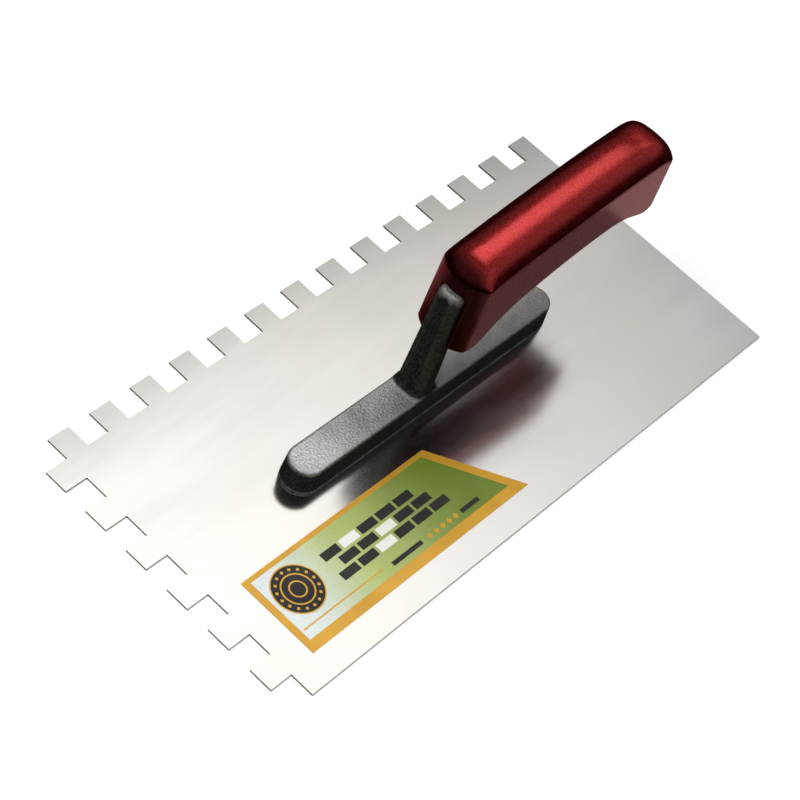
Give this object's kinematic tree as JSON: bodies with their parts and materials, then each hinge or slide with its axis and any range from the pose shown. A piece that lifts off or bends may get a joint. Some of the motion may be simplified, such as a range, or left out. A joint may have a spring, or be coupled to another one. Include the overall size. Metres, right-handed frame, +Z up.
{
  "type": "notched trowel",
  "caption": "Notched trowel: thin steel blade with square teeth on one long and one short edge, a cast mounting bar with an upright arm, and a bored wooden handle.",
  "frame": {"origin": "centre of the blade's outline, on the blade's underside", "axes": "+Z up, out of the blade's top face; +X along the blade's length, from the short toothed edge to the plain end; +Y towards the long toothed edge"},
  "size_m": [0.28, 0.13, 0.0883],
  "materials": {
    "blade_steel": "polished stainless sheet, faintly hazed",
    "cast_alloy": "sand-cast, dark grey, grainy",
    "rivet_alloy": "ground flush",
    "plated_steel": "zinc plated",
    "handle_lacquer": "dark red metallic lacquer, glossy",
    "label_foil": "printed foil with a gold border"
  },
  "bodies": {
    "root": {"blade": "blade_steel", "mount_casting": "cast_alloy", "blade_rivets": "rivet_alloy", "tang_rod": "plated_steel", "handle": "handle_lacquer", "tang_washer": "plated_steel", "tang_nut": "plated_steel", "label": "label_foil"}
  },
  "joints": []
}
